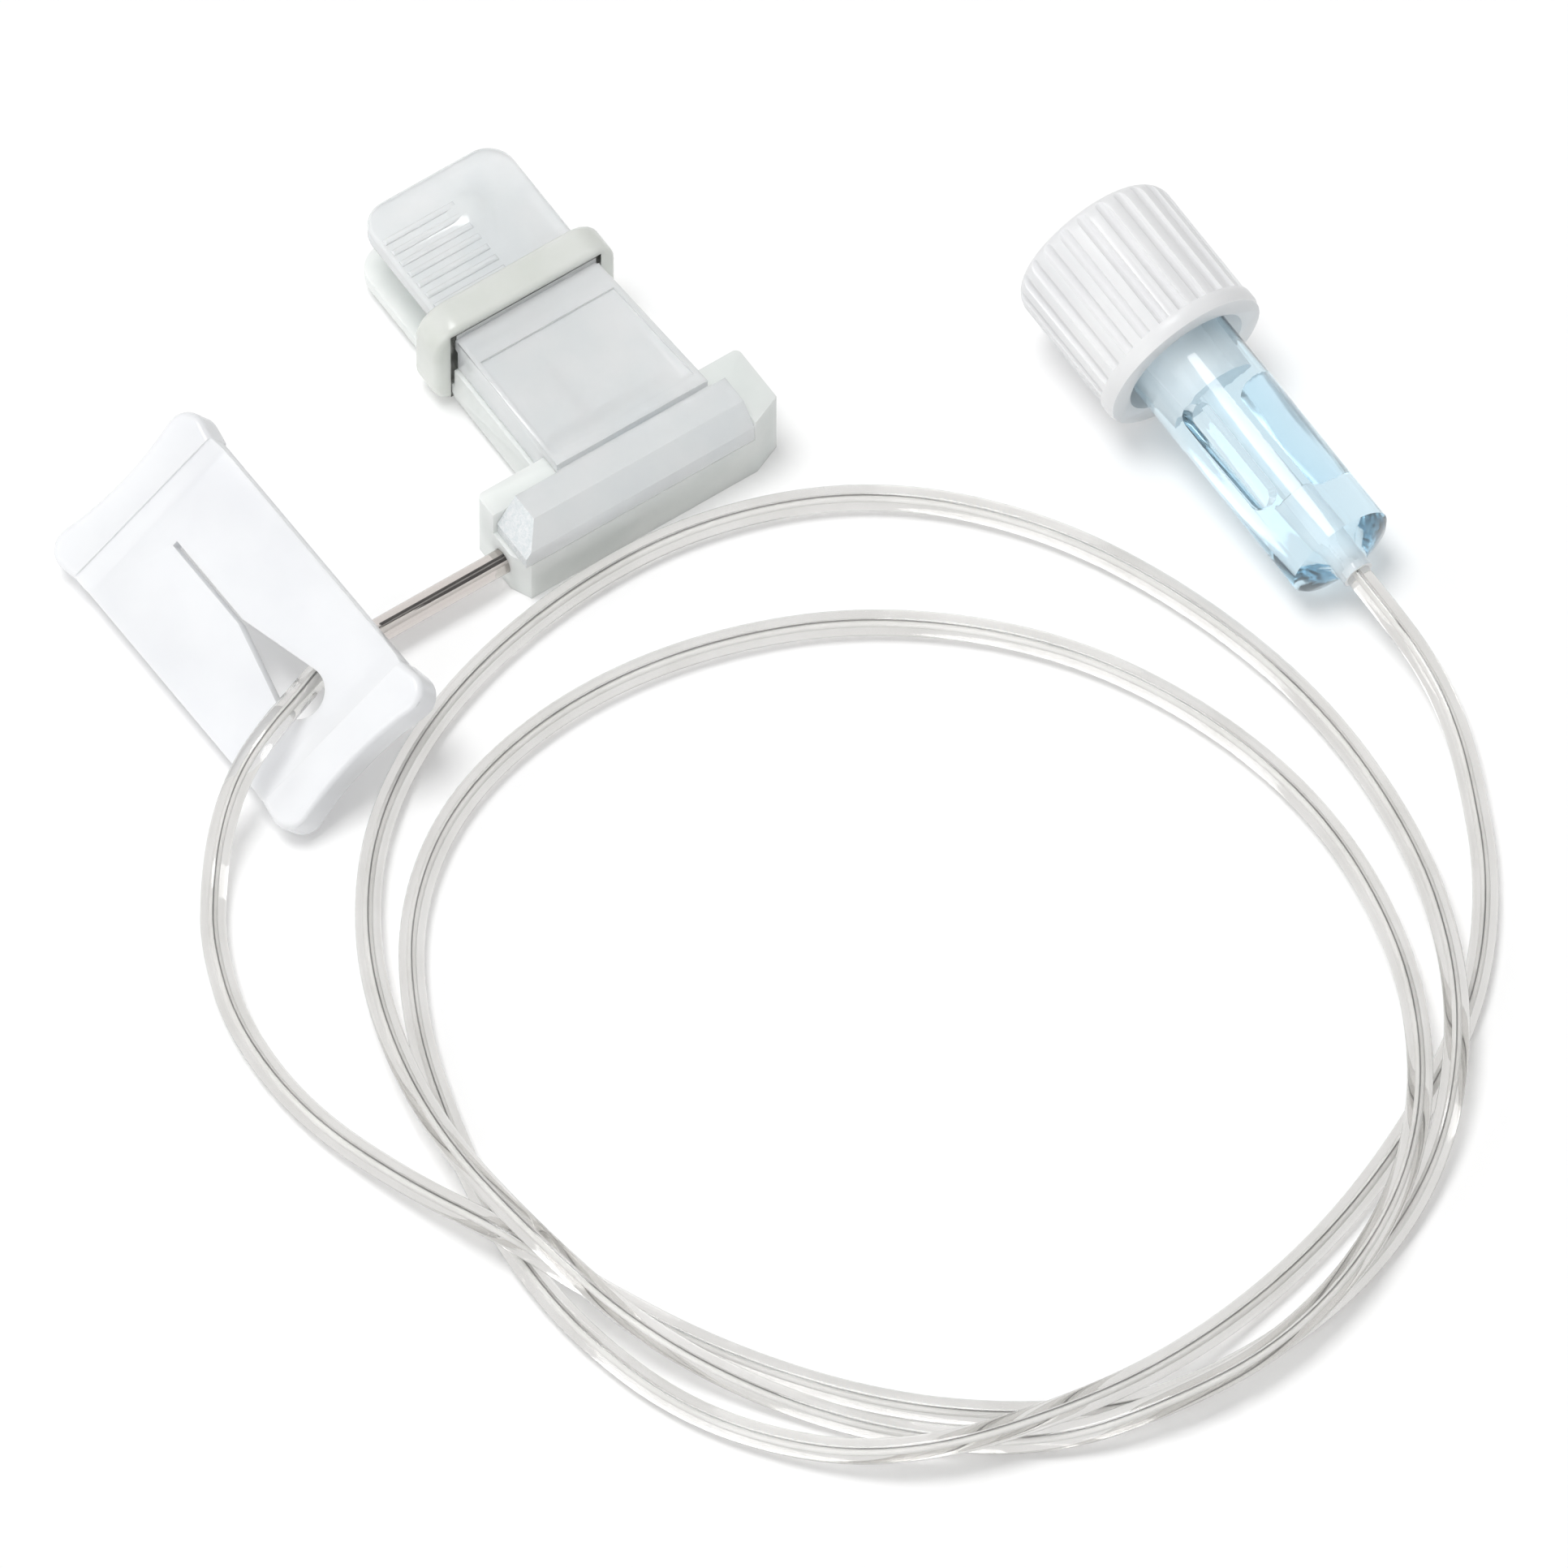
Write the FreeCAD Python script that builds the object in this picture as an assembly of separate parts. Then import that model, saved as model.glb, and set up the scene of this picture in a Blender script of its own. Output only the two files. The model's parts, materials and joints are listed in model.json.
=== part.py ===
# Subcutaneous infusion set: a needle between two closed wings, a thin clear tube laid in
# loose loops, a slide clamp on the tube, and a female luer connector under a screw cap.
# Millimetres. +Z is up, the table is z = 0, and the origin lies on the table under the
# middle of the needle hub.
import FreeCAD, Part
import math
import os
from FreeCAD import Placement, Rotation, Vector

# Tube and steel cannula
TUBE_OD = 1.55
CANNULA_OD = 0.42
CANNULA_BORE = 0.22
CANNULA_BEND = 1.2          # radius of the right-angle bend, at the centre line
LEG_BEYOND_HUB = 8.6        # straight cannula leg that shows inside the tube
NEEDLE_REACH = 7.6          # needle beyond the hub, between the wings
NEEDLE_TIP_ANGLE = 20.0
TUBE_SOCKET = 5.0           # depth to which the tube is glued into the hub
GLUE_GAP = 0.02             # all round a glued tube or cannula

# Needle hub and wings, in the clip's own axes: X along the hub, Y towards the tabs
CLIP_TURN = 34.0            # degrees from the part's X axis to the clip's X axis
HUB_LEFT = 9.35
HUB_RIGHT = 9.15
HUB_DEPTH = 4.9
HUB_HEIGHT = 5.4
HUB_ROUND = 0.4
HUB_LEFT_CUT = (0.6, 1.3)   # chamfers on the hub's front corners, along and across it
HUB_RIGHT_CUT = (1.9, 0.8)
LEG_SIDE = -0.3             # Y of the cannula's leg
LEG_HEIGHT = 1.9
WING_MIDDLE = 0.4           # X of the wings' middle
UPPER_WIDTH = 10.0
LOWER_MARGIN = 0.25         # how far the lower wing reaches past the upper on each side
WING_FLARE = 0.6            # extra width of the upper tray's right side at the hub
WING_BOTTOM = 0.65
WING_TOP = 6.3
WING_SKIN = 0.7
WING_PARTING = 3.5          # height at which the two mouldings meet
TAB_THICKNESS = 1.1
TAB_END = 22.3
TAB_CORNER = 1.8
TRAY_END = 11.5
TRAY_WALL = 0.9
SKIN_GAP = 0.05             # between the two mouldings
PANEL_MARGIN = 0.35         # side borders of the sunk panel on the upper tray
PANEL_BACK = 1.9
PANEL_FRONT = 9.6
PANEL_SINK = 0.2
HINGE_Y = 0.7               # living hinge of the upper wing
HINGE_GROOVE = 0.35
HINGE_SKIN = 0.35
BLOCK_LEFT = 0.25           # from the hub's left face to the clear block's left end
BLOCK_RIGHT = 7.1           # right end of the clear hub block
BLOCK_SLOPE = (1.3, 1.9)    # sloped left end of the block, along it and down
BLOCK_STEP = 1.3            # front edge of the block's flat top
BLOCK_FACE = 4.9            # height of the block's front face
GRIP_RIB_COUNT = 7
GRIP_RIB_WIDTH = 0.4
GRIP_RIB_HEIGHT = 0.2
GRIP_RIB_PITCH = 0.9
GRIP_RIB_SETBACK = 2.4      # from the tab's end to the first rib
GRIP_RIB_LENGTH = 5.0
THUMB_BUMP_HEIGHT = 0.26
THUMB_BUMP_BALL = 4.0
THUMB_BUMP_Y = 19.0

# Ring that holds the wings shut
RING_START = 11.75
RING_LENGTH = 2.3
RING_SIDE_WALL = 1.1
RING_TOP_WALL = 0.5
RING_CORNER = 2.0
RING_PLAY = 0.08
NECK_PAD = 0.3              # raised seat on the upper wing under the ring
NECK_FOOT = 0.15            # the same on the lower wing

# Slide clamp, in its own axes: X along the clamp, Z out of its top face
CLAMP_LENGTH = 25.9         # between the points that the round corners cut off
CLAMP_WAIST = 11.8
CLAMP_END_WIDTH = 13.0
CLAMP_PLATE = 1.0
CLAMP_BAR_LENGTH = 3.3
CLAMP_BAR_ABOVE = 0.6
CLAMP_BAR_BELOW = 1.8
CLAMP_BAR_ROUND = 0.45
CLAMP_CORNER = 1.4
CLAMP_RAMP = 1.2            # slope from the bar down to the plate
CLAMP_END_HOLLOW = 1.0      # how far each end curves in
CLAMP_FLARE = 3.4
SLOT_NARROW = 0.35
SLOT_NARROW_END = 6.7
SLOT_EYE_X = 6.1
SLOT_EYE_RADIUS = 1.6
CLAMP_TILT = 33.0
CLAMP_HEADING = -54.7       # degrees from the part's X axis
CLAMP_X = -22.95
CLAMP_Y = -11.6

# Luer connector and cap, along their own axis Z from the cap's rim to the tube end
LUER_RIM_X = 32.6
LUER_RIM_Y = 6.2
LUER_HEADING = -53.2        # degrees from the part's X axis
LUER_BODY_RADIUS = 3.42
LUER_BODY_LENGTH = 15.2      # from the cap's rim to the edge of the nose
LUER_NOSE = 1.3
LUER_BOSS_RADIUS = 1.0
LUER_BOSS_LENGTH = 0.5
LUER_SOCKET = 6.0          # depth to which the tube is glued into the connector
LUER_LEAD = 1.9             # straight tube beyond the connector
LUER_NECK_RADIUS = 2.9
LUER_SHOULDER = 1.5         # how far the body reaches into the cap
LUER_EDGE = 0.3             # chamfer between the body and its end face
LUER_MOUTH_DEPTH = 4.8      # female mouth behind the cap's rim
LUER_MOUTH_RADIUS = 2.15
LUER_TAPER = 0.03           # radius lost for each millimetre of a six per cent cone
LUER_CONE_DEPTH = 7.6
LUER_LUG_RADIUS = 3.915
LUER_LUG_LENGTH = 1.1
LUER_LUG_WIDTH = 3.4
POCKET_START = 3.2
POCKET_LENGTH = 7.9
POCKET_WIDTH = 1.6
POCKET_DEPTH = 1.1
LUER_WAY_RADIUS = 0.5      # between the tube's end and the mouth
POCKET_COUNT = 2
POCKET_TURN = 141.6         # degrees about the axis to the first pocket
CAP_RADIUS = 5.5
CAP_LENGTH = 9.9
CAP_WALL = 1.3
CAP_END_WALL = 1.1
CAP_LIP = 1.0
CAP_EDGE = 0.4              # round of the rim
CAP_SHOULDER = 1.2          # round of the closed end
CAP_RIB_COUNT = 24
CAP_RIB_SETBACK = 0.12      # ribs' tops below the lip
CAP_FLUTE_RADIUS = 0.38
CAP_FLUTE_DEPTH = 0.3
CONE_PLAY = 0.1
CONE_BORE = 1.0

# The tube's route on the table, from the cannula's leg to the connector
TUBE_ROUTE = [
    (-16.6, -11.7, 1.95), (-18.35, -14.0, 2.9), (-19.5, -17.0, 4.9), (-21.2, -19.6, 5.4), (-22.9, -21.9, 4.3),
    (-24.0, -24.4, 2.4), (-24.5, -27.6, 0.9), (-24.5, -31.8, 0.8), (-23.0, -37.6, 0.8), (-19.0, -43.6, 0.8),
    (-13.2, -48.6, 1.4), (-7.4, -52.8, 2.7),
    (-1.6, -56.6, 1.7), (6.0, -60.5, 0.8), (14.6, -63.6, 0.8), (23.0, -64.5, 0.8), (30.8, -63.5, 0.8),
    (37.7, -59.6, 0.8), (43.4, -53.9, 0.8), (47.0, -47.4, 1.2), (48.4, -41.1, 2.6), (48.2, -33.4, 2.3),
    (45.9, -24.3, 0.8), (40.6, -15.1, 0.8), (33.0, -7.6, 0.8), (24.1, -2.1, 0.8), (14.1, 0.2, 0.8),
    (4.1, -1.9, 0.8), (-4.2, -7.2, 0.8), (-10.9, -14.4, 0.8), (-14.8, -22.4, 0.8), (-15.7, -30.4, 1.0),
    (-14.3, -38.6, 1.8), (-11.0, -46.3, 2.5), (-5.8, -54.1, 4.5), (0.6, -59.7, 2.7), (8.4, -63.3, 0.8),
    (16.8, -66.0, 0.8), (24.9, -66.3, 1.0), (31.5, -64.4, 2.3), (37.7, -60.7, 2.4), (42.6, -55.0, 2.6),
    (45.6, -48.2, 2.6), (46.4, -40.6, 2.6), (45.0, -31.4, 1.0), (40.6, -22.4, 0.8), (33.4, -15.2, 0.8),
    (24.4, -10.3, 0.8), (13.9, -8.7, 0.8), (4.1, -10.6, 0.8), (-4.2, -15.0, 0.8), (-10.3, -21.5, 0.8),
    (-13.0, -29.2, 0.8), (-12.7, -37.2, 0.8), (-10.4, -45.1, 0.8), (-7.5, -52.0, 0.8), (-3.0, -58.7, 0.8),
    (3.4, -64.3, 0.8), (11.0, -67.2, 1.2), (17.7, -67.8, 2.6), (24.4, -65.6, 2.8), (30.6, -62.1, 2.2),
    (36.5, -56.6, 0.8), (41.8, -50.6, 0.8), (46.2, -43.4, 0.8), (49.4, -35.7, 0.8), (50.3, -27.5, 0.8),
    (49.2, -19.7, 0.8), (48.1, -15.6, 1.1), (46.4, -12.1, 1.7),
]
ARC_SHARE = 0.45            # share of the shorter run that an arc takes at each point


def block(x0, x1, y0, y1, z0, z1):
    return Part.makeBox(x1 - x0, y1 - y0, z1 - z0, Vector(x0, y0, z0))


def rod(radius, start, end):
    axis = end - start
    return Part.makeCylinder(radius, axis.Length, start, axis)


def outline_face(points):
    return Part.Face(Part.makePolygon(points + [points[0]]))


def upright_edges(shape, test):
    return [e for e in shape.Edges if abs(e.BoundBox.ZLength) > 0.1 and e.BoundBox.XLength < 1e-4
            and e.BoundBox.YLength < 1e-4 and test(e.BoundBox.Center)]


def level_edges(shape, height):
    return [e for e in shape.Edges if e.BoundBox.ZLength < 1e-4 and abs(e.BoundBox.ZMin - height) < 1e-4]


def revolved(profile):
    points = [Vector(r, 0, z) for r, z in profile]
    return outline_face(points).revolve(Vector(0, 0, 0), Vector(0, 0, 1), 360)


def clip_frame(shape):
    moved = shape.copy()
    moved.Placement = Placement(Vector(0, 0, 0), Rotation(Vector(0, 0, 1), CLIP_TURN))
    return moved


def clip_point(x, y, z):
    return Rotation(Vector(0, 0, 1), CLIP_TURN).multVec(Vector(x, y, z))


def lower_width():
    return UPPER_WIDTH + 2 * LOWER_MARGIN


def wing_plan(width, y0, y1, z0, z1, inset=0.0):
    half = width / 2 - inset
    return block(WING_MIDDLE - half, WING_MIDDLE + half, y0, y1, z0, z1)


def flared_plan(y0, y1, z0, z1, inset=0.0):
    left = WING_MIDDLE - UPPER_WIDTH / 2 + inset
    right = WING_MIDDLE + UPPER_WIDTH / 2 - inset
    slope = WING_FLARE / (TRAY_END - HUB_DEPTH / 2)
    plan = [Vector(left, y0, z0), Vector(right + slope * (TRAY_END - y0), y0, z0),
            Vector(right + slope * (TRAY_END - y1), y1, z0), Vector(left, y1, z0)]
    return outline_face(plan).extrude(Vector(0, 0, z1 - z0))


def tab(width, z0, z1):
    plate = wing_plan(width, TRAY_END - TRAY_WALL, TAB_END, z0, z1)
    plate = plate.makeFillet(TAB_CORNER, upright_edges(plate, lambda c: c.y > RING_START + 1))
    outer = z0 if z0 < WING_PARTING else z1
    return plate.makeFillet(TAB_THICKNESS / 4, level_edges(plate, outer))


def neck(width, z0, z1):
    return wing_plan(width, RING_START - RING_PLAY, RING_START + RING_LENGTH + RING_PLAY, z0, z1, RING_PLAY)


def hub_foot():
    half = HUB_DEPTH / 2
    plan = [Vector(-HUB_LEFT, half, 0), Vector(-HUB_LEFT, -half + HUB_LEFT_CUT[1], 0),
            Vector(-HUB_LEFT + HUB_LEFT_CUT[0], -half, 0), Vector(HUB_RIGHT - HUB_RIGHT_CUT[0], -half, 0),
            Vector(HUB_RIGHT, -half + HUB_RIGHT_CUT[1], 0), Vector(HUB_RIGHT, half, 0)]
    foot = outline_face(plan).extrude(Vector(0, 0, HUB_HEIGHT))
    foot = foot.makeFillet(HUB_ROUND, upright_edges(foot, lambda c: c.y > 0))
    rebate = block(-HUB_LEFT - 1, BLOCK_RIGHT, -half - 1, HINGE_Y, WING_PARTING, HUB_HEIGHT + 1)
    return foot.cut(rebate)


def tube_socket():
    radius = TUBE_OD / 2 + GLUE_GAP
    mouth = Vector(-HUB_LEFT - 1, LEG_SIDE, LEG_HEIGHT)
    return rod(radius, mouth, Vector(-HUB_LEFT + TUBE_SOCKET, LEG_SIDE, LEG_HEIGHT))


def lower_wing():
    half = HUB_DEPTH / 2
    tray = wing_plan(lower_width(), half - 0.2, TRAY_END, WING_BOTTOM, WING_PARTING)
    hollow = wing_plan(UPPER_WIDTH, half, TRAY_END - TRAY_WALL, WING_BOTTOM + WING_SKIN, WING_PARTING + 1,
                       TRAY_WALL)
    solid = hub_foot().fuse([tray, tab(lower_width(), WING_BOTTOM, WING_BOTTOM + TAB_THICKNESS),
                             neck(lower_width(), WING_BOTTOM - NECK_FOOT, WING_BOTTOM + TAB_THICKNESS)])
    solid = solid.cut(hollow).cut(tube_socket()).cut(needle_solid(CANNULA_OD / 2 + GLUE_GAP))
    return clip_frame(solid.removeSplitter())


def grip_ribs():
    ribs = []
    first = TAB_END - GRIP_RIB_SETBACK
    left = WING_MIDDLE - UPPER_WIDTH / 2 + TAB_THICKNESS / 4
    for i in range(GRIP_RIB_COUNT):
        y = first - i * GRIP_RIB_PITCH
        rib = block(left, left + GRIP_RIB_LENGTH, y - GRIP_RIB_WIDTH, y, WING_TOP - GRIP_RIB_HEIGHT,
                    WING_TOP + GRIP_RIB_HEIGHT)
        ribs.append(rib.makeChamfer(GRIP_RIB_HEIGHT / 2, level_edges(rib, WING_TOP + GRIP_RIB_HEIGHT)))
    return ribs


def thumb_bump():
    centre = Vector(WING_MIDDLE + UPPER_WIDTH / 12, THUMB_BUMP_Y, WING_TOP + THUMB_BUMP_HEIGHT - THUMB_BUMP_BALL)
    ball = Part.makeSphere(THUMB_BUMP_BALL, centre)
    return ball.common(wing_plan(UPPER_WIDTH, RING_START + RING_LENGTH, TAB_END, WING_TOP - 0.1, WING_TOP + 1))


def hub_block():
    half = HUB_DEPTH / 2
    back = HINGE_Y - SKIN_GAP
    low = WING_PARTING + SKIN_GAP
    section = [Vector(0, back, low), Vector(0, -half, low), Vector(0, -half, BLOCK_FACE),
               Vector(0, -BLOCK_STEP, WING_TOP), Vector(0, back, WING_TOP)]
    left = -HUB_LEFT + BLOCK_LEFT
    right = BLOCK_RIGHT - SKIN_GAP
    bar = outline_face(section).extrude(Vector(right - left, 0, 0))
    bar.translate(Vector(left, 0, 0))
    slope = [Vector(left, -HUB_DEPTH, WING_TOP), Vector(left + BLOCK_SLOPE[0], -HUB_DEPTH, WING_TOP),
             Vector(left, -HUB_DEPTH, WING_TOP - BLOCK_SLOPE[1])]
    return bar.cut(outline_face(slope).extrude(Vector(0, 2 * HUB_DEPTH, 0)))


def upper_wing():
    half = HUB_DEPTH / 2
    parting = WING_PARTING + SKIN_GAP
    tray = flared_plan(half + SKIN_GAP, TRAY_END, parting, WING_TOP)
    tray = tray.fuse(flared_plan(HINGE_Y - SKIN_GAP, half + TRAY_WALL, HUB_HEIGHT + SKIN_GAP, WING_TOP))
    hollow = wing_plan(UPPER_WIDTH, half + TRAY_WALL, TRAY_END - TRAY_WALL, parting - 1, WING_TOP - WING_SKIN,
                       TRAY_WALL)
    sunk = flared_plan(PANEL_BACK, PANEL_FRONT, WING_TOP - PANEL_SINK, WING_TOP + 1, PANEL_MARGIN)
    groove = block(-HUB_LEFT + BLOCK_SLOPE[0], BLOCK_RIGHT + 1, HINGE_Y, HINGE_Y + HINGE_GROOVE,
                   HUB_HEIGHT + HINGE_SKIN, WING_TOP + 1)
    solid = tray.fuse([hub_block(), tab(UPPER_WIDTH, WING_TOP - TAB_THICKNESS, WING_TOP),
                       neck(UPPER_WIDTH, WING_TOP - TAB_THICKNESS, WING_TOP + NECK_PAD), thumb_bump()]
                      + grip_ribs())
    solid = solid.cut(hollow).cut(sunk).cut(groove)
    return clip_frame(solid.removeSplitter())


def needle_solid(radius):
    bend = Vector(WING_MIDDLE - CANNULA_BEND, LEG_SIDE + CANNULA_BEND, LEG_HEIGHT)
    leg_end = Vector(-HUB_LEFT - LEG_BEYOND_HUB, LEG_SIDE, LEG_HEIGHT)
    tip = Vector(WING_MIDDLE, HUB_DEPTH / 2 + NEEDLE_REACH, LEG_HEIGHT)
    leg = rod(radius, leg_end, Vector(bend.x, LEG_SIDE, LEG_HEIGHT))
    point = rod(radius, Vector(WING_MIDDLE, bend.y, LEG_HEIGHT), tip)
    ring = Part.Face(Part.Wire(Part.makeCircle(radius, Vector(bend.x, LEG_SIDE, LEG_HEIGHT), Vector(1, 0, 0))))
    elbow = ring.revolve(bend, Vector(0, 0, 1), 90)
    return leg.fuse([elbow, point])


def needle():
    solid = needle_solid(CANNULA_OD / 2).cut(needle_solid(CANNULA_BORE / 2))
    reach = CANNULA_OD / math.tan(math.radians(NEEDLE_TIP_ANGLE))
    tip_y = HUB_DEPTH / 2 + NEEDLE_REACH
    low = LEG_HEIGHT - CANNULA_OD / 2
    side = WING_MIDDLE - CANNULA_OD
    corners = [Vector(side, tip_y, low), Vector(side, tip_y - reach, low + CANNULA_OD),
               Vector(side, tip_y, low + reach)]
    bevel = outline_face(corners).extrude(Vector(2 * CANNULA_OD, 0, 0))
    return clip_frame(solid.cut(bevel))


def retaining_ring():
    inner_half = lower_width() / 2 + RING_PLAY
    half = inner_half + RING_SIDE_WALL
    low = WING_BOTTOM - NECK_FOOT - RING_PLAY
    high = WING_TOP + NECK_PAD + RING_PLAY
    outer = block(WING_MIDDLE - half, WING_MIDDLE + half, RING_START, RING_START + RING_LENGTH, 0,
                  high + RING_TOP_WALL)
    outer = outer.makeFillet(RING_CORNER, [e for e in outer.Edges if e.BoundBox.YLength > RING_LENGTH / 2])
    hole = block(WING_MIDDLE - inner_half, WING_MIDDLE + inner_half, RING_START - 1,
                 RING_START + RING_LENGTH + 1, low, high)
    return clip_frame(outer.cut(hole))


def clamp_outline():
    half_end = CLAMP_END_WIDTH / 2
    half_waist = CLAMP_WAIST / 2
    end = CLAMP_LENGTH / 2
    flare = end - CLAMP_FLARE
    right = Part.Arc(Vector(end, -half_end, 0), Vector(end - CLAMP_END_HOLLOW, 0, 0), Vector(end, half_end, 0))
    left = Part.Arc(Vector(-end, half_end, 0), Vector(-end + CLAMP_END_HOLLOW, 0, 0), Vector(-end, -half_end, 0))
    top = [Vector(end, half_end, 0), Vector(flare, half_waist, 0), Vector(-flare, half_waist, 0),
           Vector(-end, half_end, 0)]
    low = [Vector(-end, -half_end, 0), Vector(-flare, -half_waist, 0), Vector(flare, -half_waist, 0),
           Vector(end, -half_end, 0)]
    edges = [right.toShape()] + Part.makePolygon(top).Edges + [left.toShape()] + Part.makePolygon(low).Edges
    return Part.Face(Part.Wire(edges))


def clamp_blank(z0, z1):
    solid = clamp_outline().extrude(Vector(0, 0, z1 - z0))
    solid.translate(Vector(0, 0, z0))
    corners = upright_edges(solid, lambda c: abs(c.x) > CLAMP_LENGTH / 2 - 0.1)
    return solid.makeFillet(CLAMP_CORNER, corners).Solids[0]


def clamp_slot():
    reach = 4.0
    slit = block(-SLOT_NARROW_END, SLOT_EYE_X, -SLOT_NARROW / 2, SLOT_NARROW / 2, -reach, reach)
    lean = math.asin((SLOT_EYE_RADIUS - SLOT_NARROW / 2) / SLOT_EYE_X)
    touch_x = SLOT_EYE_X - SLOT_EYE_RADIUS * math.sin(lean)
    touch_y = SLOT_EYE_RADIUS * math.cos(lean)
    wedge = outline_face([Vector(0, -SLOT_NARROW / 2, -reach), Vector(touch_x, -touch_y, -reach),
                          Vector(touch_x, touch_y, -reach), Vector(0, SLOT_NARROW / 2, -reach)])
    eye = Part.makeCylinder(SLOT_EYE_RADIUS, 2 * reach, Vector(SLOT_EYE_X, 0, -reach))
    return slit.fuse([wedge.extrude(Vector(0, 0, 2 * reach)), eye])


def clamp_ramps():
    middle = CLAMP_LENGTH / 2 - CLAMP_BAR_LENGTH
    ramps = []
    for side in (-1, 1):
        rise = [Vector(side * (middle - CLAMP_RAMP), -CLAMP_END_WIDTH, -CLAMP_PLATE / 2),
                Vector(side * (middle - CLAMP_RAMP), -CLAMP_END_WIDTH, 0),
                Vector(side * (middle + CLAMP_BAR_ROUND), -CLAMP_END_WIDTH, CLAMP_BAR_ABOVE),
                Vector(side * (middle + CLAMP_BAR_ROUND), -CLAMP_END_WIDTH, -CLAMP_PLATE / 2)]
        ramps.append(outline_face(rise).extrude(Vector(0, 2 * CLAMP_END_WIDTH, 0)))
    return ramps


def slide_clamp():
    plate = clamp_blank(-CLAMP_PLATE, 0)
    tall = clamp_blank(-CLAMP_BAR_BELOW, CLAMP_BAR_ABOVE)
    tall = tall.makeFillet(CLAMP_BAR_ROUND, [e for e in tall.Edges if e.BoundBox.ZLength < 1e-3])
    middle = CLAMP_LENGTH / 2 - CLAMP_BAR_LENGTH
    between = block(-middle, middle, -CLAMP_END_WIDTH, CLAMP_END_WIDTH, -CLAMP_LENGTH, CLAMP_LENGTH)
    bars = tall.cut(between).Solids
    ramps = [ramp.common(tall) for ramp in clamp_ramps()]
    solid = plate.fuse(bars + ramps).cut(clamp_slot()).removeSplitter()
    tilt = Rotation(Vector(1, 0, 0), CLAMP_TILT)
    heading = Rotation(Vector(0, 0, 1), CLAMP_HEADING)
    solid.Placement = Placement(Vector(0, 0, 0), heading.multiply(tilt))
    lift = -solid.BoundBox.ZMin
    solid.Placement = Placement(Vector(CLAMP_X, CLAMP_Y, lift), heading.multiply(tilt))
    return solid


def luer_tilt():
    return math.atan((CAP_RADIUS - LUER_BODY_RADIUS) / (LUER_BODY_LENGTH + CAP_EDGE))


def luer_placement():
    tilt = math.degrees(luer_tilt())
    lay = Rotation(Vector(0, 1, 0), 90 + tilt)
    heading = Rotation(Vector(0, 0, 1), LUER_HEADING)
    height = CAP_RADIUS * math.cos(luer_tilt()) - CAP_EDGE * math.sin(luer_tilt())
    return Placement(Vector(LUER_RIM_X, LUER_RIM_Y, height), heading.multiply(lay))


def luer_end():
    return LUER_BODY_LENGTH + LUER_NOSE + LUER_BOSS_LENGTH


def female_radius(z):
    return LUER_MOUTH_RADIUS - LUER_TAPER * (z + LUER_MOUTH_DEPTH)


def luer_pockets():
    pockets = []
    for i in range(POCKET_COUNT):
        inner = LUER_BODY_RADIUS - POCKET_DEPTH
        half = POCKET_WIDTH / 2
        low = POCKET_START + half
        high = POCKET_START + POCKET_LENGTH - half
        slot = block(-half, half, inner, LUER_BODY_RADIUS + 1, low, high)
        slot = slot.fuse([rod(half, Vector(0, inner, low), Vector(0, LUER_BODY_RADIUS + 1, low)),
                          rod(half, Vector(0, inner, high), Vector(0, LUER_BODY_RADIUS + 1, high))])
        slot.rotate(Vector(0, 0, 0), Vector(0, 0, 1), POCKET_TURN + i * 360 / POCKET_COUNT)
        pockets.append(slot)
    return pockets


def luer_connector():
    nose_end = LUER_BODY_LENGTH + LUER_NOSE
    end = luer_end()
    cone_end = LUER_CONE_DEPTH - LUER_MOUTH_DEPTH
    way = LUER_WAY_RADIUS
    socket = TUBE_OD / 2 + GLUE_GAP
    socket_start = end - LUER_SOCKET
    profile = [(LUER_MOUTH_RADIUS, -LUER_MOUTH_DEPTH), (LUER_NECK_RADIUS, -LUER_MOUTH_DEPTH),
               (LUER_NECK_RADIUS, -LUER_SHOULDER - LUER_EDGE), (LUER_BODY_RADIUS, -LUER_SHOULDER),
               (LUER_BODY_RADIUS, LUER_BODY_LENGTH),
               (LUER_BODY_RADIUS - LUER_EDGE, LUER_BODY_LENGTH + LUER_EDGE),
               (LUER_BOSS_RADIUS + LUER_EDGE, nose_end - LUER_EDGE),
               (LUER_BOSS_RADIUS, nose_end), (LUER_BOSS_RADIUS, end), (socket, end),
               (socket, socket_start), (way, socket_start), (way, cone_end), (female_radius(cone_end), cone_end)]
    body = revolved(profile)
    lug_half = LUER_LUG_WIDTH / 2
    lugs = block(-LUER_LUG_RADIUS, LUER_LUG_RADIUS, -lug_half, lug_half,
                 -LUER_MOUTH_DEPTH, -LUER_MOUTH_DEPTH + LUER_LUG_LENGTH)
    lugs = lugs.common(Part.makeCylinder(LUER_LUG_RADIUS, LUER_LUG_LENGTH, Vector(0, 0, -LUER_MOUTH_DEPTH)))
    middle = (LUER_NECK_RADIUS + LUER_MOUTH_RADIUS) / 2
    lugs = lugs.cut(Part.makeCylinder(middle, LUER_LUG_LENGTH, Vector(0, 0, -LUER_MOUTH_DEPTH)))
    solid = body.fuse(lugs)
    for pocket in luer_pockets():
        solid = solid.cut(pocket)
    solid.Placement = luer_placement()
    return solid


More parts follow.
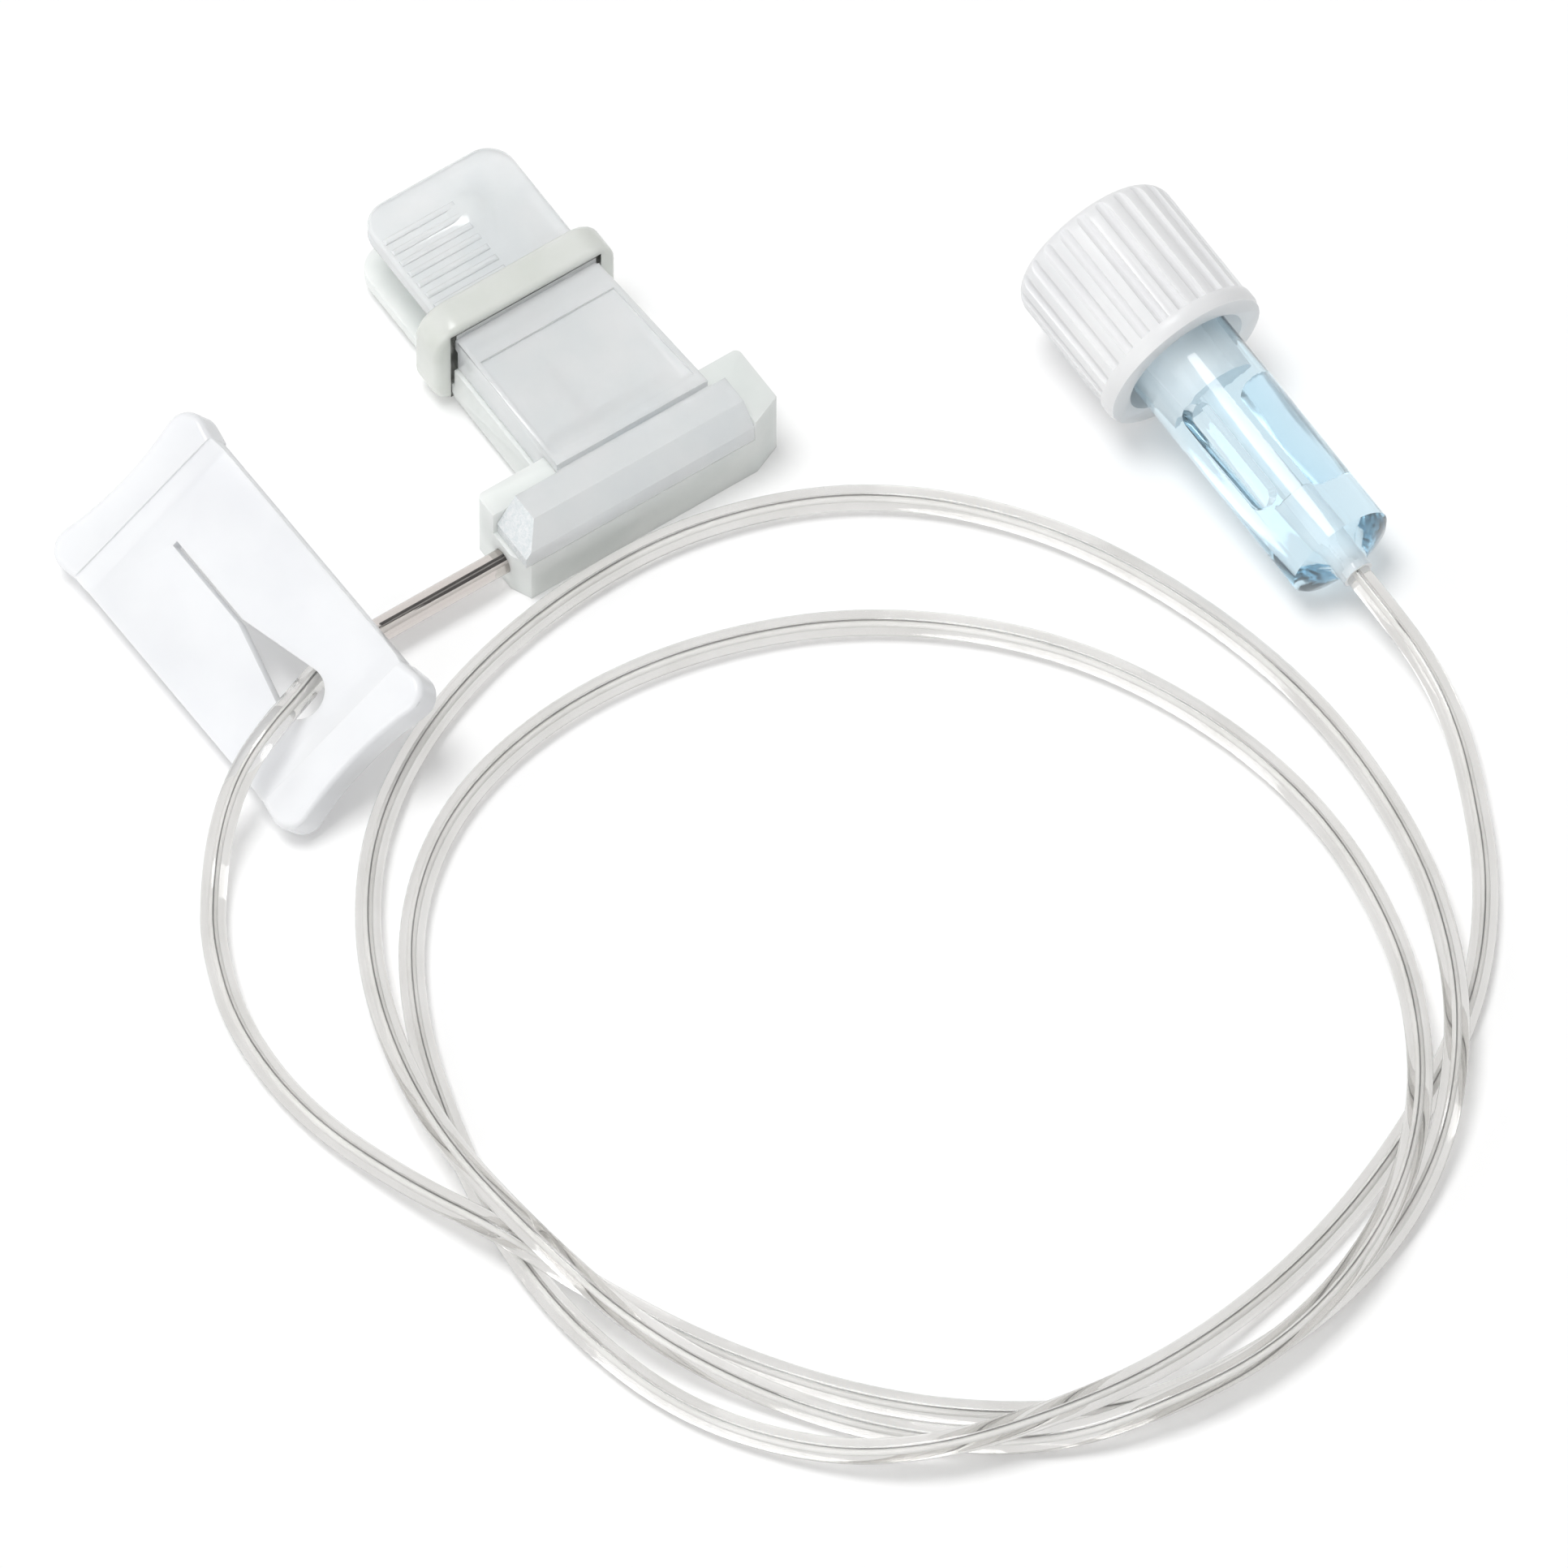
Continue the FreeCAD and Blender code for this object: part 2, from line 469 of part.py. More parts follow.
def luer_cap():
    top = CAP_RADIUS - CAP_RIB_SETBACK
    bore = top - CAP_WALL
    depth = -(CAP_LENGTH - CAP_END_WALL)
    drum = Part.makeCylinder(top, CAP_LENGTH, Vector(0, 0, -CAP_LENGTH))
    drum = drum.makeFillet(CAP_SHOULDER, [e for e in drum.Edges if e.BoundBox.ZMax < -CAP_LENGTH + 0.1])
    flutes = []
    reach = top + CAP_FLUTE_RADIUS - CAP_FLUTE_DEPTH
    for i in range(CAP_RIB_COUNT):
        angle = 2 * math.pi * i / CAP_RIB_COUNT
        foot = Vector(reach * math.cos(angle), reach * math.sin(angle), -CAP_LENGTH - 1)
        flutes.append(rod(CAP_FLUTE_RADIUS, foot, foot + Vector(0, 0, CAP_LENGTH + 1 - CAP_LIP)))
    lip = revolved([(bore, -CAP_LIP), (CAP_RADIUS, -CAP_LIP), (CAP_RADIUS, -CAP_EDGE),
                    (CAP_RADIUS - CAP_EDGE / 3, -CAP_EDGE / 3), (CAP_RADIUS - CAP_EDGE, 0), (bore, 0)])
    tip_z = LUER_CONE_DEPTH - LUER_MOUTH_DEPTH - 0.6
    seat = female_radius(-LUER_MOUTH_DEPTH) - CONE_PLAY
    cone = revolved([(CONE_BORE, depth - 0.1), (seat, depth - 0.1), (seat, -LUER_MOUTH_DEPTH),
                     (female_radius(tip_z) - CONE_PLAY, tip_z), (CONE_BORE, tip_z)])
    hollow = Part.makeCylinder(bore, CAP_LENGTH, Vector(0, 0, depth))
    solid = drum.cut(flutes).fuse(lip).cut(hollow).fuse(cone).removeSplitter()
    solid.Placement = luer_placement()
    return solid


def tube_points():
    start = clip_point(-HUB_LEFT + TUBE_SOCKET, LEG_SIDE, LEG_HEIGHT)
    leg_end = clip_point(-HUB_LEFT - LEG_BEYOND_HUB, LEG_SIDE, LEG_HEIGHT)
    inside = luer_placement().multVec(Vector(0, 0, luer_end() - LUER_SOCKET))
    outside = luer_placement().multVec(Vector(0, 0, luer_end() + LUER_LEAD))
    return [start, leg_end] + [Vector(*p) for p in TUBE_ROUTE] + [outside, inside]


def tube_path(points):
    edges = []
    reached = points[0]
    for before, corner, after in zip(points, points[1:], points[2:]):
        way_in = corner - before
        way_out = after - corner
        turn = way_in.getAngle(way_out)
        taken = ARC_SHARE * min(way_in.Length, way_out.Length)
        radius = taken / math.tan(turn / 2)
        way_in.normalize()
        way_out.normalize()
        first = corner - way_in * taken
        last = corner + way_out * taken
        towards = (way_out - way_in).normalize()
        middle = corner + towards * (radius / math.cos(turn / 2) - radius)
        edges.append(Part.LineSegment(reached, first).toShape())
        edges.append(Part.Arc(first, middle, last).toShape())
        reached = last
        print("turn %.1f degrees, radius %.1f" % (math.degrees(turn), radius))
    edges.append(Part.LineSegment(reached, points[-1]).toShape())
    return Part.Wire(edges)


def infusion_tube():
    points = tube_points()
    path = tube_path(points)
    ring = Part.Wire(Part.makeCircle(TUBE_OD / 2, points[0], points[1] - points[0]))
    solid = path.makePipeShell([ring], True, True)
    section = math.pi * TUBE_OD ** 2 / 4
    print("tube length %.1f, volume %.2f against %.2f" % (path.Length, solid.Volume, section * path.Length))
    return solid.cut(rod(CANNULA_OD / 2 + GLUE_GAP, points[0], points[1]))


def save(name, shape):
    if shape.ShapeType == "Compound" and len(shape.Solids) == 1:
        shape = shape.Solids[0]
    shape.exportStep(os.path.join("parts", name + ".step"))
    print(name, shape.ShapeType, "solids", len(shape.Solids), "valid", shape.isValid(),
          "volume %.2f" % shape.Volume, "z %.2f to %.2f" % (shape.BoundBox.ZMin, shape.BoundBox.ZMax))


os.makedirs("parts", exist_ok=True)
save("lower_wing", lower_wing())
save("upper_wing", upper_wing())
save("needle", needle())
save("retaining_ring", retaining_ring())
save("slide_clamp", slide_clamp())
save("luer_connector", luer_connector())
save("luer_cap", luer_cap())
save("infusion_tube", infusion_tube())
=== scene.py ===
# A subcutaneous infusion set laid out on a white table: needle wings held shut by a ring,
# a thin clear tube in loose loops, a slide clamp and a capped luer connector.
import bmesh
import bpy
import json
import math
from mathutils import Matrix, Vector


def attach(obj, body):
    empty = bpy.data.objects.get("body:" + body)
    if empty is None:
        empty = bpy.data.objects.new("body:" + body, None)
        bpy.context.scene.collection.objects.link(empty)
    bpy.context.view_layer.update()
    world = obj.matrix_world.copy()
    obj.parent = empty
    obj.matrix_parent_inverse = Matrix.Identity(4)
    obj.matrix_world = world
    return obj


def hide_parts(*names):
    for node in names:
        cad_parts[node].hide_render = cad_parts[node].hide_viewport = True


MM = 0.001
WHITE = (1.0, 1.0, 1.0, 1.0)

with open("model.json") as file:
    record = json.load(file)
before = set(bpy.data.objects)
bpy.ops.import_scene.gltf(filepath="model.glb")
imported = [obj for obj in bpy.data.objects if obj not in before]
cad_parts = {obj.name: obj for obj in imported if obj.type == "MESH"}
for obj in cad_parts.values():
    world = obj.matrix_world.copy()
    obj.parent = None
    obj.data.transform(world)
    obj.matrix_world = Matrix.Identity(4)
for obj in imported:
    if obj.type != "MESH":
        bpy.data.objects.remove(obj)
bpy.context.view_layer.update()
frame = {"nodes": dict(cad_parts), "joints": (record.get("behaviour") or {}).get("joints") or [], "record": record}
scene = bpy.context.scene


# Camera, at the photograph's angle and framing

PICTURE_WIDTH = 92.0 * MM
PICTURE_CENTRE = Vector((8.95, -19.92, 0.0)) * MM
CAMERA_ELEVATION = math.radians(57.0)
CAMERA_SENSOR = 36.0
CAMERA_REACH = 50.0

# The photograph has next to no perspective, so the lens is long.
CAMERA_LENS = 1500.0


def add_camera():
    data = bpy.data.cameras.new("camera")
    data.lens = CAMERA_LENS
    data.sensor_width = CAMERA_SENSOR
    data.clip_end = CAMERA_REACH
    distance = PICTURE_WIDTH * CAMERA_LENS / CAMERA_SENSOR
    camera = bpy.data.objects.new("camera", data)
    away = Vector((0.0, -math.cos(CAMERA_ELEVATION), math.sin(CAMERA_ELEVATION)))
    camera.location = PICTURE_CENTRE + away * distance
    camera.rotation_euler = (math.pi / 2 - CAMERA_ELEVATION, 0.0, 0.0)
    scene.collection.objects.link(camera)
    scene.camera = camera


add_camera()


# The tube, from inside the hub to inside the luer connector, with its bore as an opaque pale core, a painted light
# band, and a thin dark strand over it, a painted shade line at the bore's edge

TUBE_OD = 1.55 * MM
BORE_OD = 0.38 * MM
# The strand at the bore's edge is a painted shade line, lifted over the core
PAINTED_SHADE_LINE_RADIUS = 0.035 * MM
PAINTED_SHADE_LINE_LIFT = 0.24 * MM
TUBE_RINGS = 6
BORE_RINGS = 3
PAINTED_SHADE_LINE_RINGS = 2
STEPS_PER_POINT = 10
CURVE_ORDER = 3

# Blender multiplies a curve's bevel by the radius of each of its points
POINT_RADIUS = 0.001

# In millimetres
TUBE_ROUTE = [
    (-3.4, -2.7, 1.9), (-14.7, -10.3, 1.9), (-16.6, -11.7, 1.95), (-18.35, -14.0, 2.9), (-19.5, -17.0, 4.9),
    (-21.2, -19.6, 5.4), (-22.9, -21.9, 4.3), (-24.0, -24.4, 2.4), (-24.5, -27.6, 0.9), (-24.5, -31.8, 0.8),
    (-23.0, -37.6, 0.8), (-19.0, -43.6, 0.8), (-13.2, -48.6, 1.4), (-7.4, -52.8, 2.7),
    (-1.6, -56.6, 1.7), (6.0, -60.5, 0.8), (14.6, -63.6, 0.8), (23.0, -64.5, 0.8), (30.8, -63.5, 0.8),
    (37.7, -59.6, 0.8), (43.4, -53.9, 0.8), (47.0, -47.4, 1.2), (48.4, -41.1, 2.6), (48.2, -33.4, 2.3),
    (45.9, -24.3, 0.8), (40.6, -15.1, 0.8), (33.0, -7.6, 0.8), (24.1, -2.1, 0.8), (14.1, 0.2, 0.8),
    (4.1, -1.9, 0.8), (-4.2, -7.2, 0.8), (-10.9, -14.4, 0.8), (-14.8, -22.4, 0.8), (-15.7, -30.4, 1.0),
    (-14.3, -38.6, 1.8), (-11.0, -46.3, 2.5), (-5.8, -54.1, 4.5), (0.6, -59.7, 2.7), (8.4, -63.3, 0.8),
    (16.8, -66.0, 0.8), (24.9, -66.3, 1.0), (31.5, -64.4, 2.3), (37.7, -60.7, 2.4), (42.6, -55.0, 2.6),
    (45.6, -48.2, 2.6), (46.4, -40.6, 2.6), (45.0, -31.4, 1.0), (40.6, -22.4, 0.8), (33.4, -15.2, 0.8),
    (24.4, -10.3, 0.8), (13.9, -8.7, 0.8), (4.1, -10.6, 0.8), (-4.2, -15.0, 0.8), (-10.3, -21.5, 0.8),
    (-13.0, -29.2, 0.8), (-12.7, -37.2, 0.8), (-10.4, -45.1, 0.8), (-7.5, -52.0, 0.8), (-3.0, -58.7, 0.8),
    (3.4, -64.3, 0.8), (11.0, -67.2, 1.2), (17.7, -67.8, 2.6), (24.4, -65.6, 2.8), (30.6, -62.1, 2.2),
    (36.5, -56.6, 0.8), (41.8, -50.6, 0.8), (46.2, -43.4, 0.8), (49.4, -35.7, 0.8), (50.3, -27.5, 0.8),
    (49.2, -19.7, 0.8), (48.1, -15.6, 1.1), (46.4, -12.1, 1.7), (43.8, -8.8, 2.9), (39.1, -2.5, 3.9),
]


def tube_line(name, radius, rings, lift=0.0):
    data = bpy.data.curves.new(name, "CURVE")
    data.dimensions = "3D"
    data.resolution_u = STEPS_PER_POINT
    data.bevel_depth = radius / POINT_RADIUS
    data.bevel_resolution = rings
    data.use_fill_caps = True
    spline = data.splines.new("NURBS")
    spline.points.add(len(TUBE_ROUTE) - 1)
    for point, (x, y, z) in zip(spline.points, TUBE_ROUTE):
        point.co = (x * MM, y * MM, z * MM + lift, 1.0)
        point.radius = POINT_RADIUS
    spline.order_u = CURVE_ORDER
    spline.use_endpoint_u = True
    line = bpy.data.objects.new(name, data)
    scene.collection.objects.link(line)
    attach(line, "set")
    return line


tube = tube_line("tube", TUBE_OD / 2, TUBE_RINGS)
# An opaque pale core paints the bore's bright band, and a dark strand over it paints the shade at its edge
bore = tube_line("tube_bore", BORE_OD / 2, BORE_RINGS)
painted_shade_line = tube_line("bore_painted_shade_line", PAINTED_SHADE_LINE_RADIUS, PAINTED_SHADE_LINE_RINGS, lift=PAINTED_SHADE_LINE_LIFT)
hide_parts("infusion_tube")


# Finishes. A pattern's scale is in waves per metre, roughly, so a bigger one is finer.

PLASTIC_IOR = 1.46
POLISHED_IOR = 1.45
MILK = 0.6

BLEND_START = 0.35
BLEND_END = 0.65

THIN_MOTTLE = 260.0
THIN_GLOSS_PATCHES = 420.0
THIN_GRAIN = 900.0
THIN_GRAIN_DEPTH = 0.05 * MM

THICK_MOTTLE = 180.0
THICK_GLOSS_PATCHES = 350.0
THICK_GRAIN = 1500.0
THICK_GRAIN_DEPTH = 0.02 * MM

SMOOTH_SKIN = 0.04
ROUGH_SKIN = 0.6

CRACKS = 4200.0
CRACK_STRENGTH = 0.8
CRACK_DEPTH = 0.04 * MM
STEEL_MOTTLE = 900.0

# The cannula's leg inside the tube: its heading, its middle, how far the stain reaches along,
# across and above it, and the part of the fade at which it is full
LEG_HEADING = math.radians(34.0)
LEG_CENTRE = (-10.5 * MM, -7.5 * MM, 1.9 * MM)
STAIN_REACH = (11.0 * MM, 3.0 * MM, 3.0 * MM)
STAIN_FULL = 0.35

# A mix node's colour sockets share their names with its others, so they go by number
MIX_FIRST = 6
MIX_SECOND = 7
MIX_RESULT = 2


def new_material(name):
    material = bpy.data.materials.new(name)
    material.use_nodes = True
    tree = material.node_tree
    return material, tree, tree.nodes["Principled BSDF"]


def object_pattern(tree, scale, detail=4.0, roughness=0.5, distortion=0.0):
    place = tree.nodes.new("ShaderNodeTexCoord")
    noise = tree.nodes.new("ShaderNodeTexNoise")
    noise.inputs["Scale"].default_value = scale
    noise.inputs["Detail"].default_value = detail
    noise.inputs["Roughness"].default_value = roughness
    noise.inputs["Distortion"].default_value = distortion
    tree.links.new(place.outputs["Object"], noise.inputs["Vector"])
    return noise.outputs["Fac"]


def between(tree, factor, low, high):
    ramp = tree.nodes.new("ShaderNodeValToRGB")
    ramp.color_ramp.elements[0].position = BLEND_START
    ramp.color_ramp.elements[1].position = BLEND_END
    ramp.color_ramp.elements[0].color = (*low, 1.0)
    ramp.color_ramp.elements[1].color = (*high, 1.0)
    tree.links.new(factor, ramp.inputs["Fac"])
    return ramp.outputs["Color"]


def mottled(tree, shader, scale, low, high):
    colour = between(tree, object_pattern(tree, scale), low, high)
    tree.links.new(colour, shader.inputs["Base Color"])


def uneven_gloss(tree, shader, scale, low, high):
    shade = between(tree, object_pattern(tree, scale), (low,) * 3, (high,) * 3)
    tree.links.new(shade, shader.inputs["Roughness"])


def raised(tree, shader, height, strength, depth):
    bump = tree.nodes.new("ShaderNodeBump")
    bump.inputs["Strength"].default_value = strength
    bump.inputs["Distance"].default_value = depth
    tree.links.new(height, bump.inputs["Height"])
    tree.links.new(bump.outputs["Normal"], shader.inputs["Normal"])


def moulded_skin(tree, shader, scale, strength, depth):
    raised(tree, shader, object_pattern(tree, scale, detail=6.0), strength, depth)


def milky(shader, depth):
    # Light spreads a little way under the surface
    shader.inputs["Subsurface Weight"].default_value = MILK
    shader.inputs["Subsurface Radius"].default_value = (1.0, 1.0, 1.0)
    shader.inputs["Subsurface Scale"].default_value = depth


def see_through(name, low, high, gloss, clearness, ior=PLASTIC_IOR, skin=0.05, milk_depth=0.0):
    material, tree, shader = new_material(name)
    mottled(tree, shader, THIN_MOTTLE, low, high)
    uneven_gloss(tree, shader, THIN_GLOSS_PATCHES, *gloss)
    moulded_skin(tree, shader, THIN_GRAIN, skin, THIN_GRAIN_DEPTH)
    shader.inputs["Transmission Weight"].default_value = clearness
    shader.inputs["IOR"].default_value = ior
    if milk_depth:
        milky(shader, milk_depth)
    return material


def tinted_through(material, colour, density):
    # Colour that deepens with the thickness of the plastic
    tree = material.node_tree
    inside = tree.nodes.new("ShaderNodeVolumeAbsorption")
    inside.inputs["Color"].default_value = (*colour, 1.0)
    inside.inputs["Density"].default_value = density
    tree.links.new(inside.outputs["Volume"], tree.nodes["Material Output"].inputs["Volume"])


def stained_end(material, stain):
    # The stretch over the steel, darkened by the glue
    tree = material.node_tree
    shader = tree.nodes["Principled BSDF"]
    place = tree.nodes.new("ShaderNodeTexCoord")
    local = tree.nodes.new("ShaderNodeMapping")
    local.vector_type = "TEXTURE"
    local.inputs["Location"].default_value = LEG_CENTRE
    local.inputs["Rotation"].default_value = (0.0, 0.0, LEG_HEADING)
    local.inputs["Scale"].default_value = STAIN_REACH
    tree.links.new(place.outputs["Object"], local.inputs["Vector"])
    ball = tree.nodes.new("ShaderNodeTexGradient")
    ball.gradient_type = "SPHERICAL"
    tree.links.new(local.outputs["Vector"], ball.inputs["Vector"])
    amount = tree.nodes.new("ShaderNodeMapRange")
    amount.inputs["From Max"].default_value = STAIN_FULL
    tree.links.new(ball.outputs["Fac"], amount.inputs["Value"])
    mix = tree.nodes.new("ShaderNodeMix")
    mix.data_type = "RGBA"
    colour = shader.inputs["Base Color"].links[0].from_socket
    tree.links.new(amount.outputs["Result"], mix.inputs["Factor"])
    tree.links.new(colour, mix.inputs[MIX_FIRST])
    mix.inputs[MIX_SECOND].default_value = (*stain, 1.0)
    tree.links.new(mix.outputs[MIX_RESULT], shader.inputs["Base Color"])


def cracked_with_painted_highlight(name):
    # A finely cracked skin, whitened between greyer cracks as a painted highlight
    material, tree, shader = new_material(name)
    cracks = object_pattern(tree, CRACKS, detail=8.0, roughness=0.75, distortion=0.8)
    colour = between(tree, cracks, (0.76, 0.82, 0.84), (0.98, 0.99, 1.0))
    tree.links.new(colour, shader.inputs["Base Color"])
    raised(tree, shader, cracks, CRACK_STRENGTH, CRACK_DEPTH)
    shader.inputs["Roughness"].default_value = 0.18
    shader.inputs["Transmission Weight"].default_value = 0.15
    return material


def solid_plastic(name, low, high, gloss, skin=0.1, milk_depth=0.0):
    material, tree, shader = new_material(name)
    mottled(tree, shader, THICK_MOTTLE, low, high)
    uneven_gloss(tree, shader, THICK_GLOSS_PATCHES, *gloss)
    moulded_skin(tree, shader, THICK_GRAIN, skin, THICK_GRAIN_DEPTH)
    shader.inputs["IOR"].default_value = PLASTIC_IOR
    if milk_depth:
        milky(shader, milk_depth)
    return material


def steel(name):
    material, tree, shader = new_material(name)
    mottled(tree, shader, STEEL_MOTTLE, (0.008, 0.007, 0.007), (0.035, 0.032, 0.030))
    shader.inputs["Metallic"].default_value = 1.0
    shader.inputs["Roughness"].default_value = 0.35
    return material


clear_moulding = see_through(
    "clear_moulding", (0.88, 0.905, 0.92), (0.93, 0.95, 0.96),
    gloss=(0.08, 0.16), clearness=0.40, milk_depth=0.5 * MM)
frosted_moulding = see_through(
    "frosted_moulding", (0.73, 0.765, 0.745), (0.79, 0.815, 0.795),
    gloss=(0.29, 0.38), clearness=0.0, milk_depth=1.5 * MM)
ring_moulding = see_through(
    "ring_moulding", (0.79, 0.815, 0.77), (0.85, 0.87, 0.835),
    gloss=(0.16, 0.25), clearness=0.22, milk_depth=0.6 * MM)
blue_moulding = see_through(
    "blue_moulding", (0.96, 0.985, 1.0), (0.98, 0.995, 1.0),
    gloss=(0.03, 0.07), clearness=0.97, ior=POLISHED_IOR)
core_moulding = see_through(
    "core_moulding", (0.93, 0.96, 0.98), (0.99, 1.0, 1.0),
    gloss=(0.30, 0.50), clearness=0.20, skin=ROUGH_SKIN)
tube_clear = see_through(
    "tube_clear", (0.76, 0.75, 0.73), (0.83, 0.82, 0.805),
    gloss=(0.03, 0.07), clearness=0.95, ior=POLISHED_IOR)
# Opaque pale plastic for the bore's core, a painted light band
bore_painted_light = solid_plastic(
    "bore_painted_light", (0.88, 0.88, 0.87), (0.95, 0.95, 0.94),
    gloss=(0.29, 0.38))
# Dark plastic for the strand at the bore's edge, a painted shade line
bore_painted_shade = solid_plastic(
    "bore_painted_shade", (0.20, 0.20, 0.195), (0.34, 0.335, 0.33),
    gloss=(0.3, 0.4))
# Painted highlight: white colour over a finely cracked bump
cracked_painted_highlight = cracked_with_painted_highlight("cracked_painted_highlight")
white_moulding = solid_plastic(
    "white_moulding", (0.81, 0.82, 0.84), (0.845, 0.855, 0.87),
    gloss=(0.17, 0.26), skin=SMOOTH_SKIN, milk_depth=0.6 * MM)
cap_moulding = solid_plastic(
    "cap_moulding", (0.77, 0.775, 0.785), (0.81, 0.815, 0.82),
    gloss=(0.29, 0.38), skin=SMOOTH_SKIN, milk_depth=0.5 * MM)
cannula_steel = steel("cannula_steel")

stained_end(tube_clear, (0.72, 0.67, 0.64))
tinted_through(blue_moulding, (0.35, 0.75, 0.92), density=80.0)
tube.data.materials.append(tube_clear)
# Painted light on the bore's core, painted shade on the strand at its edge
bore.data.materials.append(bore_painted_light)
painted_shade_line.data.materials.append(bore_painted_shade)


# Moulded pieces, with the small rounded edges that the solids leave out

WELD = 0.002 * MM
FLAT = math.radians(1.0)
SHARP = math.radians(28.0)

joints = {joint["name"]: joint for joint in frame["joints"]}
mounts = {mount["name"]: mount for mount in frame["record"]["mounts"]}

# The ring's band
RING_AXIS = Vector(joints["ring_off"]["axis"])
WALL_FACING = 0.5
BAND_ROUND = 0.42 * MM
BAND_SEGMENTS = 5

# The end of the hub's clear block, on the side that the cannula's leg leaves, which carries a painted highlight
HUB_LEFTWARDS = Vector((0.0, 0.0, 1.0)).cross(RING_AXIS)
PAINTED_HIGHLIGHT_SPOT = Vector((-6.7, -5.7, 4.8)) * MM
PAINTED_HIGHLIGHT_REACH = 1.6 * MM
PAINTED_HIGHLIGHT_FACING = 0.6

# The walls of the luer connector's bore, seen as a pale core through the blue
INLET = Vector(mounts["luer_inlet"]["pos_m"])
INLET_AXIS = Vector(mounts["luer_inlet"]["axis"]).normalized()
CORE_RADIUS = 2.3 * MM
CORE_FACING = 0.3

# The clamp's ramps and end bars
CLAMP_AXIS = Vector(joints["clamp_shift"]["axis"])
STEP_FACING = 0.95
STEP_LOW = 0.12 * MM
STEP_HIGH = 0.22 * MM
CREST_LENGTH = 5.0 * MM
CREST_SHALLOW = math.radians(10.0)
CREST_STEEP = math.radians(40.0)
CREST_ROUND = 0.35 * MM
CREST_SEGMENTS = 4


def softened(name, node, body, material, radius, segments=3, rework=None, other=None, on_other=None):
    # A copy of the CAD node, merged, with its edges rounded to the radius, or left sharp at 0.
    # The faces that on_other picks take the other material.
    shape = bmesh.new()
    shape.from_mesh(frame["nodes"][node].data)
    bmesh.ops.remove_doubles(shape, verts=shape.verts, dist=WELD)
    bmesh.ops.dissolve_limit(shape, angle_limit=FLAT, verts=shape.verts, edges=shape.edges)
    if rework:
        rework(shape)
    for face in shape.faces:
        face.smooth = True
        if other:
            face.material_index = int(on_other(face))
    if not radius:
        for edge in shape.edges:
            edge.smooth = edge.calc_face_angle() < SHARP
    mesh = bpy.data.meshes.new(name)
    shape.to_mesh(mesh)
    shape.free()
    piece = bpy.data.objects.new(name, mesh)
    scene.collection.objects.link(piece)
    if radius:
        edges = piece.modifiers.new("edges", "BEVEL")
        edges.width = radius
        edges.segments = segments
        edges.limit_method = "ANGLE"
        edges.angle_limit = SHARP
        edges.harden_normals = True
    mesh.materials.append(material)
    if other:
        mesh.materials.append(other)
    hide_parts(node)
    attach(piece, body)
    return piece


def at_block_end(face):
    near = (face.calc_center_median() - PAINTED_HIGHLIGHT_SPOT).length < PAINTED_HIGHLIGHT_REACH
    return near and face.normal.dot(HUB_LEFTWARDS) > PAINTED_HIGHLIGHT_FACING


def in_connector(face):
    out = face.calc_center_median() - INLET
    out -= out.dot(INLET_AXIS) * INLET_AXIS
    return out.length < CORE_RADIUS and face.normal.dot(out) < CORE_FACING * out.length


def round_band(shape):
    # The band's outer edges, on both of its sides
    centre = sum((corner.co for corner in shape.verts), Vector()) / len(shape.verts)
    rims = []
    for edge in shape.edges:
        walls = [face for face in edge.link_faces if abs(face.normal.dot(RING_AXIS)) < WALL_FACING]
        if len(walls) == 1 and len(edge.link_faces) == 2:
            if walls[0].normal.dot(edge.verts[0].co - centre) > 0:
                rims.append(edge)
    bmesh.ops.bevel(shape, geom=rims, offset=BAND_ROUND, offset_type="OFFSET",
                    segments=BAND_SEGMENTS, profile=0.5, affect="EDGES", material=-1)


def close_steps(shape):
    # Closes the low steps between the clamp's ramps and its end bars, and rounds the ramps' crests
    risers = []
    for edge in shape.edges:
        beside = [face for face in edge.link_faces if abs(face.normal.dot(CLAMP_AXIS)) > STEP_FACING]
        if beside and STEP_LOW < edge.calc_length() < STEP_HIGH:
            risers.append(edge)
    bmesh.ops.collapse(shape, edges=risers)
    crests = []
    for edge in shape.edges:
        if len(edge.link_faces) == 2 and edge.is_convex and edge.calc_length() > CREST_LENGTH:
            if CREST_SHALLOW < edge.calc_face_angle() < CREST_STEEP:
                crests.append(edge)
    bmesh.ops.bevel(shape, geom=crests, offset=CREST_ROUND, offset_type="OFFSET",
                    segments=CREST_SEGMENTS, profile=0.5, affect="EDGES", material=-1)


# The block's end facet takes the cracked skin with its painted highlight
softened("upper_shell", "upper_wing", "set", clear_moulding, 0.10 * MM,
         other=cracked_painted_highlight, on_other=at_block_end)
softened("lower_shell", "lower_wing", "set", frosted_moulding, 0.12 * MM)
softened("ring_band", "retaining_ring", "ring", ring_moulding, 0.0,
         rework=round_band)
clamp_body = softened("clamp_body", "slide_clamp", "clamp", white_moulding, 0.10 * MM,
                      rework=close_steps)
connector_body = softened("connector_body", "luer_connector", "set", blue_moulding,
                          0.08 * MM, other=core_moulding, on_other=in_connector)
cap_shell = softened("cap_shell", "luer_cap", "cap", cap_moulding, 0.08 * MM,
                     segments=2)

for slot in frame["nodes"]["needle"].material_slots:
    slot.material = cannula_steel


# Table and light

TABLE_SIZE = 4.0
TABLE_DROP = 0.02 * MM
TABLE_THROUGH_PLASTIC = 0.92
WORLD_LIGHT = 0.42
WORLD_SEEN = 1.0

# Each lamp's name, strength, direction, spread in degrees, and whether it casts shadows
LAMPS = [
    ("window", 1.40, (0.22, -0.05, -0.97), 26.0, True),
    ("side", 0.25, (0.85, -0.10, -0.50), 40.0, False),
    ("front", 0.70, (0.35, 0.75, -0.55), 40.0, False),
]


